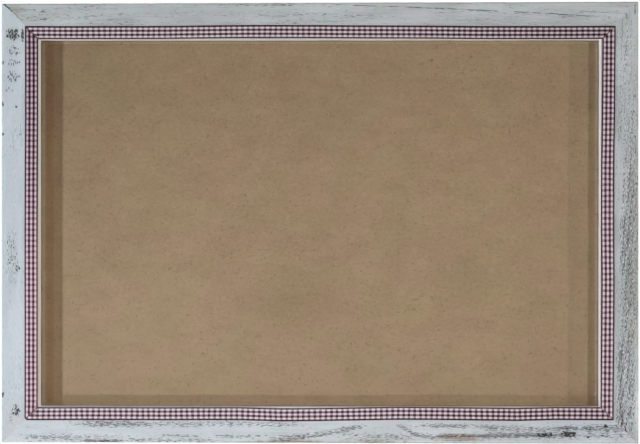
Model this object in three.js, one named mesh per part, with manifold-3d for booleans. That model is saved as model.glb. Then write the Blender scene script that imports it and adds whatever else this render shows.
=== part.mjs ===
// Wooden picture frame for a 300 x 200 mm picture, hung on a wall by a sawtooth hanger.
// Four mitred rails carry a woven ribbon on their face. A rebate behind their lip holds the
// glass and the backing board, and turn buttons screwed to the back keep both in.
// Millimetres, +Z up, front towards -Y. The origin lies on the wall plane, at the middle of
// the top hanger's rear face.

import * as THREE from "three";
import { mergeVertices } from "three/addons/utils/BufferGeometryUtils.js";
import Module from "manifold-3d";

// Picture and rebate
const pictureWidth = 300;
const pictureHeight = 200;
const sightOverlap = 5; // how far the lip covers each edge of the picture
const rebateSlack = 1; // room round the picture inside the rebate

// Moulding
const railWidth = 18.7; // outer edge to sight edge
const lipThickness = 8;
const frontArris = 1.2; // radius of the worn outer front edge
const rearArris = 0.8;
const mitreGap = 0.2; // width of the open joint line at each mitre

// Ribbon glued along the sight edge
const ribbonWidth = 7;
const ribbonThickness = 0.4;
const ribbonInset = 0.2; // bare wood between ribbon and sight edge
const glueLine = 0.05;

// Sheets in the rebate
const glassThickness = 2;
const boardThickness = 3;
const printRoom = 0.6; // gap for the picture between glass and board
const seatGap = 0.2; // between pieces that lie on each other

// Corner V-nails, pressed in flush from the back
const vNailCount = 2; // at each corner
const vNailLeg = 5;
const vNailStrip = 0.6;
const vNailDepth = 8;
const vNailGap = 0.15;

// Turn buttons and their screws
const buttonThickness = 1;
const buttonHubRadius = 5;
const buttonTipRadius = 3.2;
const buttonReach = 15; // pivot to the end of the tip
const pivotClearance = 0.2;
const longSideButtonSpacing = 180;
const shortSideButtonSpacing = 110;
const screwShankRadius = 1.45;
const screwLength = 9.5; // under the head
const screwTaper = 3;
const screwHeadRadius = 2.9;
const screwHeadHeight = 1.6;
const screwHeadRim = 0.5;
const screwSeatGap = 0.1;
const recessLength = 3.2;
const recessWidth = 0.7;
const recessDepth = 0.9;
const pilotGap = 0.15; // between a shank and its hole in the wood

// Sawtooth hangers and their nails
const hangerLength = 44;
const hangerBand = 22; // raised part that the wall hook catches
const hangerRamp = 3;
const hangerRise = 2.2;
const hangerHeight = 7;
const hangerStrip = 0.8;
const toothPitch = 2.6;
const toothDepth = 1.4;
const toothCount = 7;
const hangerNailInset = 4; // nail centre from the strip's end
const nailShankRadius = 0.7;
const nailLength = 9;
const nailTaper = 1.8;
const nailHeadRadius = 1.8;
const nailHeadHeight = 0.7;

// Facets
const arcSteps = 6;
const roundSides = 16;
const domeSteps = 3;
const mergeTolerance = 1e-4;
const cutOverrun = 1; // how far a cutter runs past the face it cuts

// Sizes that follow
const sightWidth = pictureWidth - 2 * sightOverlap;
const sightHeight = pictureHeight - 2 * sightOverlap;
const outerWidth = sightWidth + 2 * railWidth;
const outerHeight = sightHeight + 2 * railWidth;
const landWidth = railWidth - sightOverlap - rebateSlack; // rear face beside the rebate
const landCentre = landWidth / 2; // from the outer edge
const rebateDepth = seatGap + glassThickness + printRoom + boardThickness + seatGap;
const railDepth = lipThickness + rebateDepth;
const hangerRear = seatGap + hangerRise + hangerStrip; // rear face behind the rails' back
const buttonRear = seatGap + buttonThickness;

const wasm = await Module();
wasm.setup();

// Materials
const paintedWood = new THREE.MeshStandardMaterial({ color: 0xc4ccd0, roughness: 0.75 });
const gingham = new THREE.MeshStandardMaterial({ color: 0xa3868f, roughness: 0.9 });
const clearGlass = new THREE.MeshStandardMaterial({
  color: 0xeaf2f0,
  roughness: 0.03,
  transparent: true,
  opacity: 0.2,
});
const fibreboard = new THREE.MeshStandardMaterial({ color: 0x9c8466, roughness: 0.85 });
const zincPlate = new THREE.MeshStandardMaterial({ color: 0xb9bbb8, roughness: 0.35, metalness: 1 });
const bareSteel = new THREE.MeshStandardMaterial({ color: 0x8b8c8e, roughness: 0.5, metalness: 1 });

// Closed geometry to a solid that can be cut, and back
function toSolid(geometry) {
  const bare = geometry.clone();
  bare.deleteAttribute("normal");
  bare.deleteAttribute("uv");
  const merged = mergeVertices(bare, mergeTolerance);
  const mesh = new wasm.Mesh({
    numProp: 3,
    vertProperties: merged.attributes.position.array,
    triVerts: new Uint32Array(merged.index.array),
  });
  return new wasm.Manifold(mesh);
}

function toGeometry(solid) {
  const { vertProperties, triVerts } = solid.getMesh();
  const geometry = new THREE.BufferGeometry();
  geometry.setAttribute("position", new THREE.BufferAttribute(vertProperties, 3));
  geometry.setIndex(new THREE.BufferAttribute(triVerts, 1));
  geometry.computeVertexNormals();
  return geometry;
}

function cutAway(geometry, cutters) {
  const cut = cutters.reduce((body, cutter) => body.subtract(toSolid(cutter)), toSolid(geometry));
  return toGeometry(cut);
}

function extrude(shape, depth) {
  return new THREE.ExtrudeGeometry(shape, { depth, bevelEnabled: false, curveSegments: arcSteps });
}

// A flat piece drawn in x and z, from its rear face at y = back forward by its thickness
const plateAxes = new THREE.Matrix4().makeBasis(
  new THREE.Vector3(1, 0, 0),
  new THREE.Vector3(0, 0, 1),
  new THREE.Vector3(0, -1, 0),
);

function plate(shape, back, thickness) {
  return extrude(shape, thickness).applyMatrix4(plateAxes).translate(0, back, 0);
}

// A round hole along y, from the given depth to past the rear face it opens in
function bore(radius, x, z, depth, rearFace) {
  const length = depth + cutOverrun;
  const hole = new THREE.CylinderGeometry(radius, radius, length, roundSides);
  return hole.translate(x, rearFace + cutOverrun - length / 2, z);
}

function named(name, geometry, material) {
  const mesh = new THREE.Mesh(geometry, material);
  mesh.name = name;
  return mesh;
}

// Each side is drawn as the top one is, with x along the rail and z out from the frame's centre,
// and its group turns it about y. Ends names the rail's -x and +x ends as the front shows them.
const sides = [
  { name: "top", turn: 0, ends: ["left", "right"], isLong: true, hasHanger: true },
  { name: "right", turn: Math.PI / 2, ends: ["upper", "lower"], isLong: false, hasHanger: false },
  { name: "bottom", turn: Math.PI, ends: ["right", "left"], isLong: true, hasHanger: false },
  { name: "left", turn: -Math.PI / 2, ends: ["lower", "upper"], isLong: false, hasHanger: true },
];
for (const side of sides) {
  side.length = side.isLong ? outerWidth : outerHeight;
  side.reach = (side.isLong ? outerHeight : outerWidth) / 2; // frame's centre to the outer edge
  side.sight = side.reach - railWidth;
  side.land = side.reach - landCentre;
  const spacing = side.isLong ? longSideButtonSpacing : shortSideButtonSpacing;
  side.buttonPlaces = [-spacing / 2, spacing / 2];
}
const hangerNailPlaces = [-1, 1].map((end) => end * (hangerLength / 2 - hangerNailInset));

// Outline between two heights of a side, with its ends cut to the mitre
function mitredOutline(side, outer, inner) {
  const halfLength = (z) => side.length / 2 - (side.reach - z) - mitreGap / Math.SQRT2;
  return new THREE.Shape([
    new THREE.Vector2(-halfLength(outer), outer),
    new THREE.Vector2(-halfLength(inner), inner),
    new THREE.Vector2(halfLength(inner), inner),
    new THREE.Vector2(halfLength(outer), outer),
  ]);
}

// V-nail outline at one end of a side: the bend sits on the mitre, one leg in each rail
function vNailOutline(cornerX, cornerZ, end, setback, strip, leg) {
  const half = strip / 2;
  const point = (alongIn, downIn) =>
    new THREE.Vector2(cornerX - end * (setback + alongIn), cornerZ - setback - downIn);
  return new THREE.Shape([
    point(-half, -half),
    point(-half, leg),
    point(half, leg),
    point(half, half),
    point(leg, half),
    point(leg, -half),
  ]);
}

const vNailSetbacks = Array.from(
  { length: vNailCount },
  (_, i) => (landWidth * (i + 1)) / (vNailCount + 1),
);

// Rail section: across runs in from the outer edge, and the rear face is at depth 0
function railSection() {
  const section = new THREE.Shape();
  section.moveTo(landWidth, 0);
  section.lineTo(rearArris, 0);
  section.absarc(rearArris, -rearArris, rearArris, Math.PI / 2, Math.PI, false);
  section.lineTo(0, frontArris - railDepth);
  section.absarc(frontArris, frontArris - railDepth, frontArris, Math.PI, 1.5 * Math.PI, false);
  section.lineTo(railWidth, -railDepth);
  section.lineTo(railWidth, -rebateDepth);
  section.lineTo(landWidth, -rebateDepth);
  return section;
}

const railAxes = new THREE.Matrix4().makeBasis(
  new THREE.Vector3(0, 0, -1),
  new THREE.Vector3(0, 1, 0),
  new THREE.Vector3(1, 0, 0),
);

function railGeometry(side) {
  const bar = extrude(railSection(), side.length)
    .applyMatrix4(railAxes)
    .translate(-side.length / 2, 0, side.reach);
  const prism = plate(
    mitredOutline(side, side.reach + cutOverrun, side.sight - cutOverrun),
    cutOverrun,
    railDepth + 2 * cutOverrun,
  );
  const mitred = toSolid(bar).intersect(toSolid(prism));
  const screwHoles = side.buttonPlaces.map((x) =>
    bore(screwShankRadius + pilotGap, x, side.land, screwLength, 0),
  );
  const nailHoles = (side.hasHanger ? hangerNailPlaces : []).map((x) =>
    bore(nailShankRadius + pilotGap, x, side.land, nailLength, 0),
  );
  const vNailSlots = [-1, 1].flatMap((end) =>
    vNailSetbacks.map((setback) =>
      plate(
        vNailOutline(
          (end * side.length) / 2,
          side.reach,
          end,
          setback,
          vNailStrip + 2 * vNailGap,
          vNailLeg + vNailGap,
        ),
        cutOverrun,
        cutOverrun + seatGap + vNailDepth + vNailGap,
      ),
    ),
  );
  return cutAway(toGeometry(mitred), [...screwHoles, ...nailHoles, ...vNailSlots]);
}

function ribbonGeometry(side) {
  const inner = side.sight + ribbonInset;
  const outline = mitredOutline(side, inner + ribbonWidth, inner);
  return plate(outline, -railDepth - glueLine, ribbonThickness);
}

// Turn button round its pivot, tip towards -z: two round ends joined by their tangents
function turnButtonGeometry() {
  const tipCentre = buttonTipRadius - buttonReach;
  const lean = Math.asin((buttonHubRadius - buttonTipRadius) / (buttonReach - buttonTipRadius));
  const outline = new THREE.Shape();
  outline.absarc(0, 0, buttonHubRadius, -lean, Math.PI + lean, false);
  outline.absarc(0, tipCentre, buttonTipRadius, Math.PI + lean, 2 * Math.PI - lean, false);
  const hole = new THREE.Path();
  hole.absarc(0, 0, screwShankRadius + pivotClearance, 0, 2 * Math.PI, true);
  outline.holes.push(hole);
  return plate(outline, buttonRear, buttonThickness);
}

// A round fastener turned about y, its head's underside at y = seat
function fastenerGeometry({ seat, shankRadius, length, taper, headRadius, headHeight, headRim }) {
  const dome = Array.from({ length: domeSteps }, (_, i) => {
    const angle = ((i + 1) / domeSteps) * (Math.PI / 2);
    const rise = (headHeight - headRim) * Math.sin(angle);
    return new THREE.Vector2(headRadius * Math.cos(angle), seat + headRim + rise);
  });
  dome[domeSteps - 1].x = 0;
  return new THREE.LatheGeometry(
    [
      new THREE.Vector2(0, seat - length),
      new THREE.Vector2(shankRadius, seat - length + taper),
      new THREE.Vector2(shankRadius, seat),
      new THREE.Vector2(headRadius, seat),
      new THREE.Vector2(headRadius, seat + headRim),
      ...dome,
    ],
    roundSides,
  );
}

// Pan-head wood screw with a cross recess
function screwGeometry() {
  const seat = buttonRear + screwSeatGap;
  const screw = fastenerGeometry({
    seat,
    shankRadius: screwShankRadius,
    length: screwLength,
    taper: screwTaper,
    headRadius: screwHeadRadius,
    headHeight: screwHeadHeight,
    headRim: screwHeadRim,
  });
  const slots = [
    [recessLength, recessWidth],
    [recessWidth, recessLength],
  ].map(([alongX, alongZ]) =>
    new THREE.BoxGeometry(alongX, 2 * recessDepth, alongZ).translate(0, seat + screwHeadHeight, 0),
  );
  return cutAway(screw, slots);
}

function hangerNailGeometry() {
  return fastenerGeometry({
    seat: seatGap + hangerStrip + screwSeatGap,
    shankRadius: nailShankRadius,
    length: nailLength,
    taper: nailTaper,
    headRadius: nailHeadRadius,
    headHeight: nailHeadHeight,
    headRim: nailHeadHeight / 2,
  });
}

// Sawtooth hanger: a bent strip whose raised band has teeth along its inner edge
function hangerGeometry() {
  const half = hangerLength / 2;
  const bandEnd = hangerBand / 2;
  const rampEnd = bandEnd + hangerRamp;
  const bendShift = hangerStrip * Math.tan(Math.atan2(hangerRise, hangerRamp) / 2);
  const rightHalf = [
    [bandEnd, hangerRear],
    [rampEnd, seatGap + hangerStrip],
    [half, seatGap + hangerStrip],
    [half, seatGap],
    [rampEnd - bendShift, seatGap],
    [bandEnd - bendShift, hangerRear - hangerStrip],
  ];
  const leftHalf = rightHalf.map(([x, y]) => [-x, y]).reverse();
  const outline = [...rightHalf, ...leftHalf].map(([x, y]) => new THREE.Vector2(x, y));
  const strip = extrude(new THREE.Shape(outline), hangerHeight).translate(0, 0, -hangerHeight / 2);
  const notches = Array.from({ length: toothCount }, (_, i) => {
    const x = (i - (toothCount - 1) / 2) * toothPitch;
    const edge = -hangerHeight / 2;
    const notch = new THREE.Shape([
      new THREE.Vector2(x - toothPitch / 2, edge),
      new THREE.Vector2(x - toothPitch / 2, edge - cutOverrun),
      new THREE.Vector2(x + toothPitch / 2, edge - cutOverrun),
      new THREE.Vector2(x + toothPitch / 2, edge),
      new THREE.Vector2(x, edge + toothDepth),
    ]);
    return plate(notch, hangerRear + cutOverrun, hangerRear + 2 * cutOverrun);
  });
  const nailHoles = hangerNailPlaces.map((x) =>
    bore(nailShankRadius + pilotGap, x, 0, hangerRear, hangerRear),
  );
  return cutAway(strip, [...notches, ...nailHoles]);
}

// Everything that is fixed to one side, in that side's own turned group
function buildSide(side) {
  const group = new THREE.Group();
  group.rotation.y = side.turn;
  group.add(named(`${side.name}_rail`, railGeometry(side), paintedWood));
  group.add(named(`${side.name}_ribbon`, ribbonGeometry(side), gingham));
  side.buttonPlaces.forEach((x, i) => {
    const place = `${side.name}_${side.ends[i]}`;
    const button = named(`${place}_turn_button`, turnButtonGeometry(), zincPlate);
    const screw = named(`${place}_button_screw`, screwGeometry(), zincPlate);
    button.position.set(x, 0, side.land);
    screw.position.set(x, 0, side.land);
    group.add(button, screw);
  });
  if (side.hasHanger) {
    const hanger = named(`${side.name}_hanger`, hangerGeometry(), zincPlate);
    hanger.position.z = side.land;
    group.add(hanger);
    hangerNailPlaces.forEach((x, i) => {
      const nail = named(`${side.name}_hanger_${side.ends[i]}_nail`, hangerNailGeometry(), bareSteel);
      nail.position.set(x, 0, side.land);
      group.add(nail);
    });
  }
  return group;
}

// V-nails of one corner, drawn at the top right one and turned about y to the others
const corners = [
  { name: "top_right", turn: 0, right: 1, up: 1 },
  { name: "bottom_right", turn: Math.PI / 2, right: 1, up: -1 },
  { name: "bottom_left", turn: Math.PI, right: -1, up: -1 },
  { name: "top_left", turn: -Math.PI / 2, right: -1, up: 1 },
];

function buildCorner(corner) {
  const group = new THREE.Group();
  group.position.set((corner.right * outerWidth) / 2, 0, (corner.up * outerHeight) / 2);
  group.rotation.y = corner.turn;
  vNailSetbacks.forEach((setback, i) => {
    const outline = vNailOutline(0, 0, 1, setback, vNailStrip, vNailLeg);
    const nail = plate(outline, -seatGap, vNailDepth);
    group.add(named(`${corner.name}_v_nail_${i + 1}`, nail, bareSteel));
  });
  return group;
}

// Glass and backing board, lying behind the lip in that order
function buildSheets() {
  const glassFront = seatGap - rebateDepth;
  const boardFront = glassFront + glassThickness + printRoom;
  const glass = new THREE.BoxGeometry(pictureWidth, glassThickness, pictureHeight);
  const board = new THREE.BoxGeometry(pictureWidth, boardThickness, pictureHeight);
  return [
    named("glass_pane", glass.translate(0, glassFront + glassThickness / 2, 0), clearGlass),
    named("backing_board", board.translate(0, boardFront + boardThickness / 2, 0), fibreboard),
  ];
}

const pictureFrame = new THREE.Group();
pictureFrame.name = "picture_frame";
const assembly = new THREE.Group();
assembly.position.set(0, -hangerRear, landCentre - outerHeight / 2);
assembly.add(...sides.map(buildSide), ...corners.map(buildCorner), ...buildSheets());
pictureFrame.add(assembly);

export default pictureFrame;
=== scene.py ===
import math

import bmesh
import bpy
from mathutils import Matrix, Vector, noise


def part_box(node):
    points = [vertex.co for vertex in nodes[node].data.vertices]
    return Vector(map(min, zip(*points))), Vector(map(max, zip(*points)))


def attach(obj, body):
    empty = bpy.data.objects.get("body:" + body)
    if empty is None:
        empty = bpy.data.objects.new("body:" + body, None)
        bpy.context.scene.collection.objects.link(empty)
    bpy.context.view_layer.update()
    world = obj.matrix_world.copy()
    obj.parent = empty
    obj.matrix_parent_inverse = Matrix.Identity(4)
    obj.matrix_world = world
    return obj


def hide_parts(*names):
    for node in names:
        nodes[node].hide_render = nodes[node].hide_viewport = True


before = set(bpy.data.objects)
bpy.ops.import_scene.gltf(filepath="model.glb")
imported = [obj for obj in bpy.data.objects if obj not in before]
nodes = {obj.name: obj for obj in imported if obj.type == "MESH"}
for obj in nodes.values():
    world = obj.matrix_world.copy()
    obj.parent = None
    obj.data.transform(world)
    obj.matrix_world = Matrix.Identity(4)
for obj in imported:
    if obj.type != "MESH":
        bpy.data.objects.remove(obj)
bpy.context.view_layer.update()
scene = bpy.context.scene
mm = 0.001

# Edges that everything is placed from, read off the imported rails
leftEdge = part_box("left_rail")[0].x
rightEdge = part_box("right_rail")[1].x
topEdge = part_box("top_rail")[1].z
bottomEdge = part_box("bottom_rail")[0].z
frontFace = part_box("top_rail")[0].y
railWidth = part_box("top_rail")[1].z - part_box("top_rail")[0].z
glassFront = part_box("glass_pane")[0].y
middle = Vector(((leftEdge + rightEdge) / 2, frontFace, (topEdge + bottomEdge) / 2))

# How each side lies: along runs left to right or top to bottom, out points away from the middle
sides = {
    "top": {"start": leftEdge, "along": Vector((1, 0, 0)), "edge": topEdge, "out": Vector((0, 0, 1))},
    "bottom": {"start": leftEdge, "along": Vector((1, 0, 0)), "edge": bottomEdge, "out": Vector((0, 0, -1))},
    "left": {"start": topEdge, "along": Vector((0, 0, -1)), "edge": leftEdge, "out": Vector((-1, 0, 0))},
    "right": {"start": topEdge, "along": Vector((0, 0, -1)), "edge": rightEdge, "out": Vector((1, 0, 0))},
}
for lie in sides.values():
    lie["alongAxis"] = Vector(map(abs, lie["along"]))
    lie["outAxis"] = Vector(map(abs, lie["out"]))
print("frame loaded:", len(nodes), "nodes")


def picture(red, green, blue):  # 0 to 255 picture values as linear light
    def linear(c):
        return c / 12.92 if c <= 0.04045 else ((c + 0.055) / 1.055) ** 2.4
    return (linear(red / 255), linear(green / 255), linear(blue / 255), 1.0)


# Node helpers
noiseRange = (0.3, 0.7)  # where most values of a noise lie
white = (1.0, 1.0, 1.0, 1.0)


def feed(tree, socket, value):  # links another socket, or sets a plain value
    if isinstance(value, bpy.types.NodeSocket):
        tree.links.new(value, socket)
    else:
        socket.default_value = value


def add(tree, kind, inputs=None, **settings):
    made = tree.nodes.new("ShaderNode" + kind)
    for name, value in settings.items():
        setattr(made, name, value)
    for key, value in (inputs or {}).items():
        feed(tree, made.inputs[key], value)
    return made


def maths(tree, operation, first, second=0.0, clamp=False):
    return add(tree, "Math", {0: first, 1: second}, operation=operation, use_clamp=clamp).outputs[0]


def plus(tree, total, *values):
    for value in values:
        total = maths(tree, "ADD", total, value)
    return total


def minus(tree, first, second):
    return maths(tree, "SUBTRACT", first, second)


def times(tree, first, second, clamp=False):
    return maths(tree, "MULTIPLY", first, second, clamp)


def over(tree, first, second):
    return maths(tree, "DIVIDE", first, second)


def limited(tree, value):  # kept between 0 and 1
    return maths(tree, "ADD", value, 0.0, clamp=True)


def spread(tree, value, low, high, toLow=0.0, toHigh=1.0, kind="LINEAR"):
    made = add(tree, "MapRange", {"Value": value, "From Min": low, "From Max": high, "To Min": toLow,
                                  "To Max": toHigh}, interpolation_type=kind)
    return made.outputs["Result"]


def smooth(tree, value, low, high, toLow=0.0, toHigh=1.0):
    return spread(tree, value, low, high, toLow, toHigh, "SMOOTHSTEP")


def swing(tree, field, low=0.0, high=1.0):  # the usual range of a noise brought to these values
    return spread(tree, field, *noiseRange, low, high)


def tint(tree, factor, first, second, blend="MIX"):
    made = add(tree, "Mix", {0: factor, 6: first, 7: second}, data_type="RGBA", blend_type=blend)
    return made.outputs[2]


def multiplied(tree, vector, factors):
    return add(tree, "VectorMath", {0: vector, 1: factors}, operation="MULTIPLY").outputs[0]


def inMillimetres(tree, point):
    return multiplied(tree, point, (1000, 1000, 1000))


def cloud(tree, space, size=None, detail=2.0, roughness=0.5, distortion=0.0):
    if size:  # the noise is this long on each axis
        space = multiplied(tree, space, [1 / length for length in size])
    made = add(tree, "TexNoise", {"Vector": space, "Scale": 1.0, "Detail": detail, "Roughness": roughness,
                                  "Distortion": distortion})
    return made.outputs["Fac"]


def axes(tree, vector):
    return add(tree, "SeparateXYZ", {0: vector}).outputs


def objectPoint(tree):
    return add(tree, "TexCoord").outputs["Object"]


def newGroup(name, inputs, outputs):  # the sockets' labels are listed under their kind
    tree = bpy.data.node_groups.new(name, "ShaderNodeTree")
    for way, sockets in (("INPUT", inputs), ("OUTPUT", outputs)):
        for kind, labels in sockets.items():
            for label in labels:
                tree.interface.new_socket(label, in_out=way, socket_type="NodeSocket" + kind)
    return tree, tree.nodes.new("NodeGroupInput").outputs, tree.nodes.new("NodeGroupOutput").inputs


def useGroup(tree, group, inputs):
    return add(tree, "Group", inputs, node_tree=group).outputs


def newMaterial(name):
    material = bpy.data.materials.new(name)
    material.use_nodes = True
    tree = material.node_tree
    return material, tree, tree.nodes["Principled BSDF"]


def setShader(tree, shader, **values):
    for name, value in values.items():
        feed(tree, shader.inputs[name.replace("_", " ")], value)


def bump(tree, height, distance, strength):
    return add(tree, "Bump", {"Height": height, "Distance": distance, "Strength": strength}).outputs[0]


# Shared effects. A band is full over its core, a fleck starts at a noise level for no and for full density,
# and the grain follows a part of the rings' wobble.
sharedEffect = {"bandCore": 0.25, "fleckLevel": (0.73, 0.37), "ringWave": (30.0, 5.0, 5.0),
                "ringFollow": 0.12}


def makePatch():  # ragged oval mask at a place on a rail
    tree, given, out = newGroup("raggedPatch", {
        "Vector": ["Vector"],
        "Float": ["Ragged", "Along", "Across", "Half Length", "Half Width", "Raggedness", "Softness"],
    }, {"Float": ["Mask"]})
    place = axes(tree, given["Vector"])
    dx = over(tree, minus(tree, place["X"], given["Along"]), given["Half Length"])
    dy = over(tree, minus(tree, place["Y"], given["Across"]), given["Half Width"])
    far = maths(tree, "SQRT", plus(tree, times(tree, dx, dx), times(tree, dy, dy)))
    nudge = times(tree, minus(tree, given["Ragged"], 0.5), given["Raggedness"])
    mask = smooth(tree, plus(tree, far, nudge), 1.0, minus(tree, 1.0, given["Softness"]))
    tree.links.new(mask, out["Mask"])
    return tree


def makeBand():  # soft band or thin line between two places on a rail, bowed by its sag
    tree, given, out = newGroup("grainBand", {
        "Vector": ["Vector"],
        "Float": ["Ragged", "Start Along", "Start Across", "End Along", "End Across", "Sag", "Half Width",
                  "Wander", "Fade"],
    }, {"Float": ["Mask"]})
    place = axes(tree, given["Vector"])
    run = minus(tree, given["End Along"], given["Start Along"])
    share = over(tree, minus(tree, place["X"], given["Start Along"]), run)
    rise = times(tree, share, minus(tree, given["End Across"], given["Start Across"]))
    arch = times(tree, times(tree, share, minus(tree, 1.0, share)), 4.0)  # 0 at both ends, 1 half way
    sag = times(tree, arch, given["Sag"])
    wander = times(tree, minus(tree, given["Ragged"], 0.5), given["Wander"])
    line = plus(tree, given["Start Across"], rise, sag, wander)
    gap = maths(tree, "ABSOLUTE", minus(tree, place["Y"], line))
    begun = smooth(tree, share, 0.0, given["Fade"])
    ended = smooth(tree, share, 1.0, minus(tree, 1.0, given["Fade"]))
    body = smooth(tree, gap, given["Half Width"], times(tree, given["Half Width"], sharedEffect["bandCore"]))
    tree.links.new(times(tree, body, times(tree, begun, ended)), out["Mask"])
    return tree


def makeFlecks():  # streaks or specks that thicken where the density is higher
    tree, given, out = newGroup("grainFlecks", {
        "Vector": ["Vector", "Size"], "Float": ["Density", "Edge", "Grit"],
    }, {"Float": ["Mask"]})
    space = add(tree, "VectorMath", {0: given["Vector"], 1: given["Size"]}, operation="DIVIDE").outputs[0]
    field = cloud(tree, space, detail=3.0, roughness=given["Grit"])
    level = spread(tree, given["Density"], 0.0, 1.0, *sharedEffect["fleckLevel"])
    tree.links.new(smooth(tree, field, level, plus(tree, level, given["Edge"])), out["Mask"])
    return tree


def makeRings():  # growth lines that bow round a place along the rail, and how far they have bowed there
    tree, given, out = newGroup("growthRings", {
        "Vector": ["Vector"], "Float": ["Arch Along", "Bow", "Pitch", "Wobble"],
    }, {"Float": ["Line", "Bowed"]})
    place = axes(tree, given["Vector"])
    offset = minus(tree, place["X"], given["Arch Along"])
    bow = times(tree, times(tree, offset, offset), given["Bow"])
    wave = cloud(tree, given["Vector"], sharedEffect["ringWave"], detail=3.0)
    wobble = times(tree, wave, given["Wobble"])
    ring = over(tree, plus(tree, place["Y"], bow, wobble), given["Pitch"])
    tree.links.new(maths(tree, "PINGPONG", ring, 0.5), out["Line"])
    tree.links.new(plus(tree, bow, times(tree, wobble, sharedEffect["ringFollow"])), out["Bowed"])
    return tree


patchGroup = makePatch()
bandGroup = makeBand()
fleckGroup = makeFlecks()
ringGroup = makeRings()
print("shared effects ready")


def sumOfMasks(tree, group, labels, shared, places):  # each place ends with its amount
    masks = []
    for *place, amount in places:
        mask = useGroup(tree, group, {**shared, **dict(zip(labels, place))})["Mask"]
        masks.append(times(tree, mask, amount))
    return plus(tree, *masks) if masks else 0.0


def sumOfPatches(tree, space, ragged, places, raggedness, softness):
    labels = ("Along", "Across", "Half Length", "Half Width")
    shared = {"Vector": space, "Ragged": ragged, "Raggedness": raggedness, "Softness": softness}
    return sumOfMasks(tree, patchGroup, labels, shared, places)


def sumOfBands(tree, space, ragged, places, wander, fade):
    labels = ("Start Along", "Start Across", "End Along", "End Across", "Sag", "Half Width")
    shared = {"Vector": space, "Ragged": ragged, "Wander": wander, "Fade": fade}
    return sumOfMasks(tree, bandGroup, labels, shared, places)


def flecks(tree, space, size, density, edge, grit):
    return useGroup(tree, fleckGroup, {"Vector": space, "Size": size, "Density": density, "Edge": edge,
                                       "Grit": grit})["Mask"]


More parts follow.
